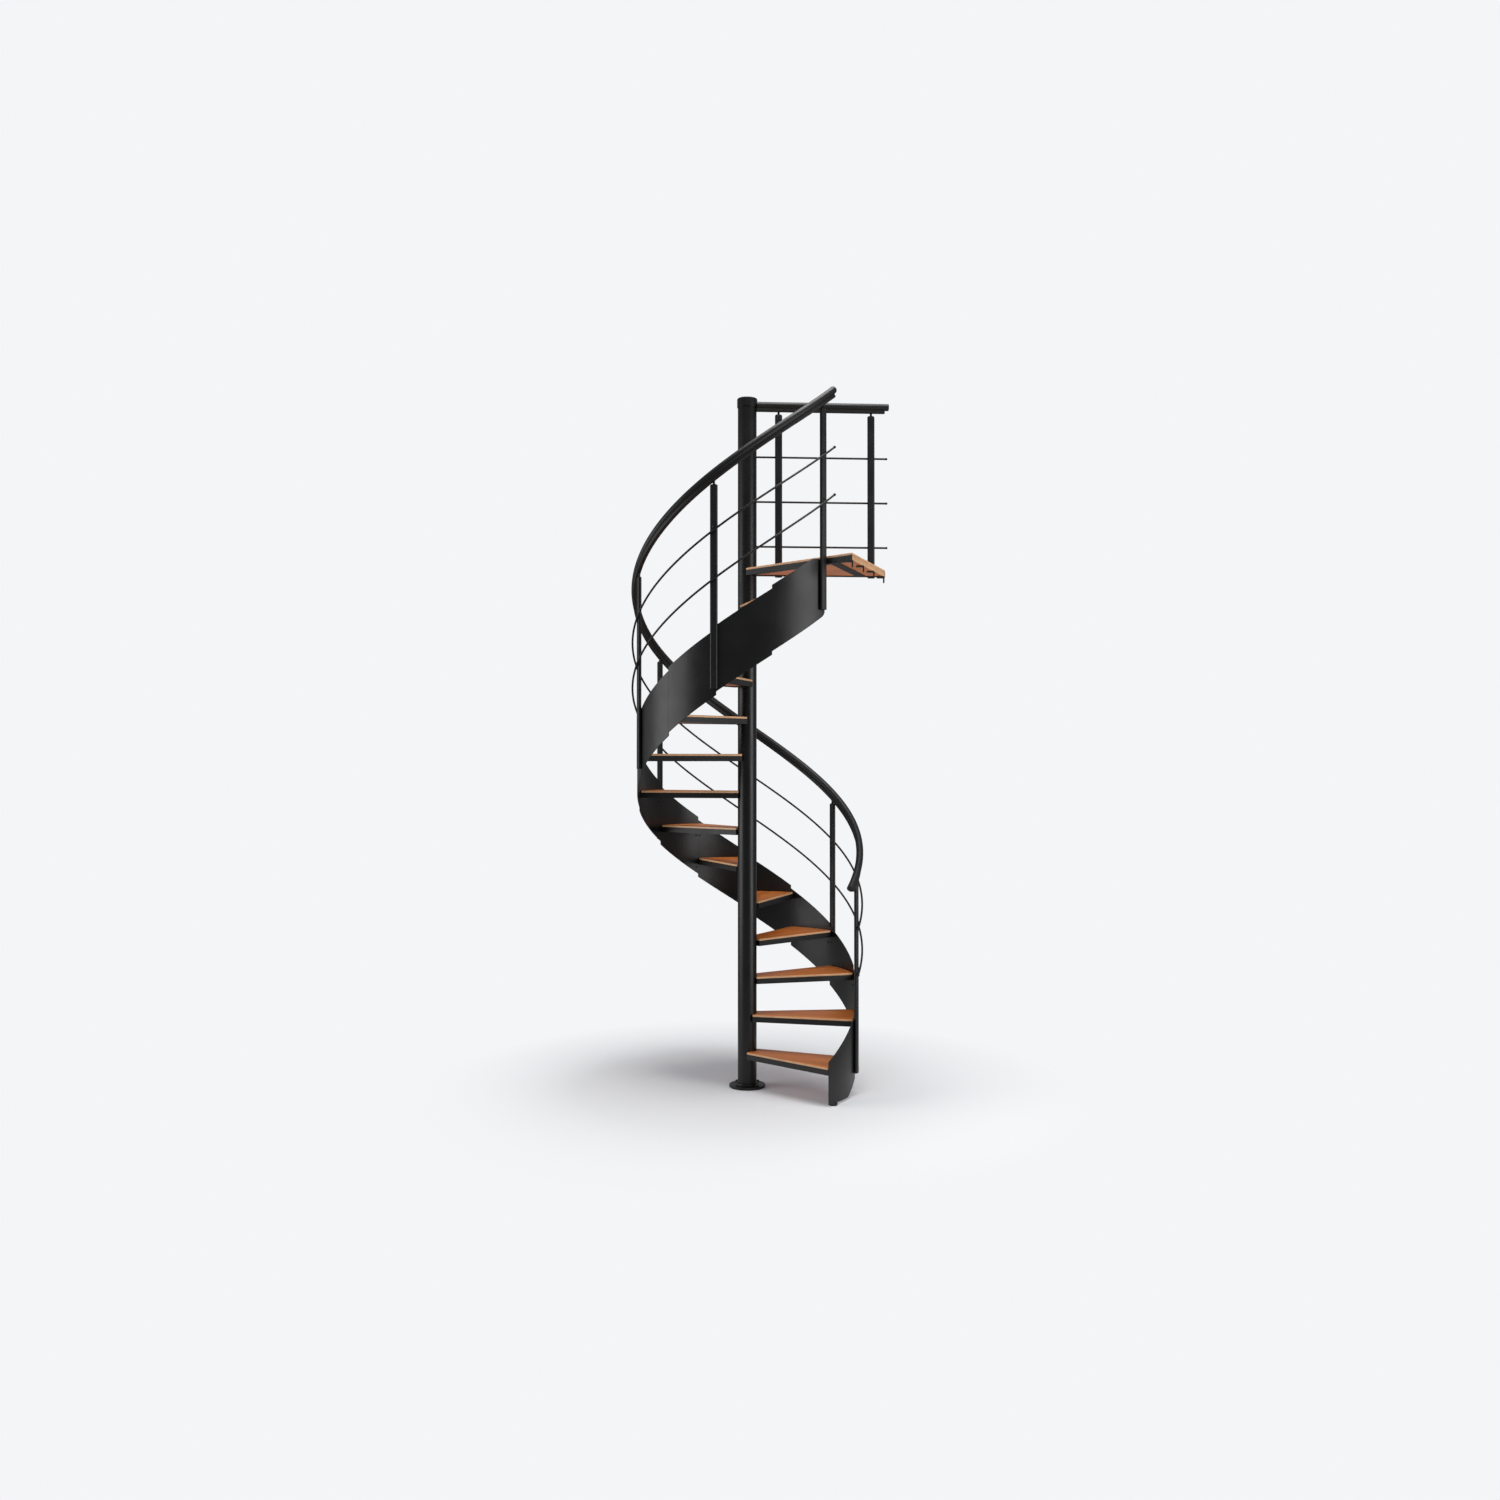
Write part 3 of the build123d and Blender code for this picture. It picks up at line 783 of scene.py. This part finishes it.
bar_shape = rounded(
    [
        (-BAR_WIDTH / 2, -RAIL - BAR_HEIGHT),
        (BAR_WIDTH / 2, -RAIL - BAR_HEIGHT),
        (BAR_WIDTH / 2, -RAIL + BAR_SADDLE),
        (-BAR_WIDTH / 2, -RAIL + BAR_SADDLE),
    ],
    [0.005, 0.005, 0.0015, 0.0015],
)
degrees = np.linspace(RAIL_START + BAR_SETBACK, RAIL_END - BAR_SETBACK, 240)
stations = on_helix(RAIL_HELIX, degrees, rail_height(degrees))
bar_rings = sweep(bar_shape, *stations, 0.0015)
piece("handrail_bar", [bar_rings], tube_look, ["flight_handrail_bar"])

# %% [markdown]
# ## Landing
#
# A wedge wider than the stair's circle, with steel along its front and back edges, and a
# short straight railing on its back edge made as the flight's is.

# %%
# Landing board
FRONT, BACK, OUTER = (FRONT_LINE, -43.0), (-0.028, 3.6), (-0.7749, 68.8)
front_corner, back_corner = lines_meet(FRONT, OUTER), lines_meet(BACK, OUTER)
inner = edge_point(*FRONT, NARROW_END)
back = edge_point(*BACK, NARROW_END)
corners = np.vstack([inner, front_corner, back_corner, back, narrow_side(back, inner)])
radii = np.zeros(len(corners))
radii[[1, 2]] = BOARD_CORNER
landing_plan = clear_of_column(rounded(corners, radii), COLUMN + COLUMN_GAP)
look = timber("timber_landing", math.radians(FRONT[1]), 9.3)
rings = prism(landing_plan, board_levels(LANDING))
piece("landing_top", [rings], look, ["landing_board"])

# %%
# Landing hooks: bent straps under the outer edge, for the floor that it joins
hook_shape = rounded(
    [(-0.044, -0.006), (-0.006, -0.006), (-0.006, -0.035), (0, -0.035), (0, 0), (-0.044, 0)],
    [0.001, 0.003, 0.001, 0.001, 0.007, 0.001],
)
first = np.append(front_corner, LANDING - BOARD)
last = np.append(back_corner, LANDING - BOARD)
run = unit(last - first)
hook_outs, hook_ups = np.tile([1.0, 0, 0], (4, 1)), np.tile([0, 0, 1.0], (4, 1))
# The first and the last hook lie under the frame's 4 mm sheet, the others under the board
hooks = []
for along, drop in ((0.016, 0.004), (0.238, 0), (0.460, 0), (0.681, 0.004)):
    corner = first + along * run - [0, 0, drop]
    centres = corner + np.outer([-0.020, -0.016, 0.016, 0.020], [0, 1, 0])
    hooks.append(sweep(hook_shape, centres, hook_outs, hook_ups, 0.0006))
piece("landing_hooks", hooks, frame_look, ["landing_brackets"])

# %%
# Landing railing: heights above the board, and distances from the axis along the back edge
LANDING_POSTS = (0.190, 0.756)
LANDING_POST_DROP = 0.048
LANDING_RODS = (0.141, 0.414, 0.687)
LANDING_ROD_RUN = (0.052, 0.853)
LANDING_RAIL_RUN = (0.055, 0.865)
LANDING_BAR_RUN = (0.055, 0.840)
CONTACT_GAP = 0.0003
BACK_ALONG = polar(1.0, BACK[1])
BACK_OUT = polar(1.0, BACK[1] + 90)
POST_INSET = POST_DEPTH / 2 + CONTACT_GAP
ROD_INSET = POST_DEPTH + 2 * CONTACT_GAP + ROD
RAIL_LEVEL = LANDING + 1.020 - RAIL


def back_stations(out, height, start, end):
    """Stations of a straight run beside the back edge, from start to end along it."""
    out += BACK[0]
    distances = (start, start + 0.01, end - 0.01, end)
    centres = np.array([d * BACK_ALONG + out * BACK_OUT + [0, 0, height] for d in distances])
    count = len(centres)
    return centres, np.tile(BACK_OUT, (count, 1)), np.tile([0.0, 0.0, 1.0], (count, 1))


posts = []
foot, head = LANDING - LANDING_POST_DROP, RAIL_LEVEL - RAIL - BAR_HEIGHT
for distance in LANDING_POSTS:
    centre = distance * BACK_ALONG + (POST_INSET + BACK[0]) * BACK_OUT
    posts += post_rings(centre, BACK_ALONG, foot, head)
piece("landing_rail_posts", posts, post_look, ["landing_posts"])

rods = []
for height in LANDING_RODS:
    stations = back_stations(ROD_INSET, LANDING + height, *LANDING_ROD_RUN)
    rods.append(sweep(oval(2 * ROD, 2 * ROD, 16), *stations, 0.0015))
    rods.append(ball(stations[0][-1], BACK_ALONG, 0.0075))
piece("landing_rail_rods", rods, rod_look, ["landing_rods"])

stations = back_stations(POST_INSET, RAIL_LEVEL, *LANDING_RAIL_RUN)
rail_rings = sweep(oval(2 * RAIL, 2 * RAIL, 40), *stations, 0.004)
piece("landing_rail_tube", [rail_rings], tube_look, ["landing_handrail"])
stations = back_stations(POST_INSET, RAIL_LEVEL, *LANDING_BAR_RUN)
bar_rings = sweep(bar_shape, *stations, 0.0015)
piece("landing_rail_bar", [bar_rings], tube_look, ["landing_handrail_bar"])

# %% [markdown]
# ## Small fixings
#
# Button-head bolts hold each frame and each pair of plates on the stringer's inner face. A
# small clip with a screw holds each rod to each post, and hexagon bolts hold the floor flange.

# %%
# Joint bolts on the stringer's inner face: degrees beyond a nosing, and metres below it
JOINT_BOLTS = ((0.1, 0.078), (2.6, 0.078), (2.6, 0.285))
bolts = []
for number in range(2, TREADS + 1):
    joint = FIRST + STEP * (number - 1)
    top = float(nosing(joint))
    for turn, drop in JOINT_BOLTS:
        place = polar(STRINGER_INNER, joint + turn, top - drop)
        bolts += domed_screw(place, -polar(1.0, joint + turn), 0.0065)
piece("joint_bolts", bolts, bolt_look)

# %%
# Clips that hold the rods to the posts: a disc behind the rod, and one with a screw above it
SCREW_RISE = 0.020
seat_profile = [(0.0075, 0), (0.0075, 0.004), (0.0068, 0.0045)]
plate_profile = [(0.008, 0), (0.008, 0.0028), (0.007, 0.0034)]
clips, screws = [], []
face = POST_HELIX + POST_DEPTH / 2
for angle in POST_ANGLES:
    outward = polar(1.0, angle)
    for rise in ROD_RISES:
        level = float(rod_height(angle, rise))
        screw_level = level + SCREW_RISE
        clips.append(turned(polar(face, angle, screw_level), outward, plate_profile))
        clips.append(turned(polar(face, angle, level), outward, seat_profile))
        screws += domed_screw(polar(face + 0.0034, angle, screw_level), outward, 0.0045)
piece("rod_clips", clips, rod_look)
piece("clip_screws", screws, bolt_look)

# %%
# The foot keeps its solid, with the coated look
nodes["stringer_foot"].data.materials.clear()
nodes["stringer_foot"].data.materials.append(bolt_look.material)
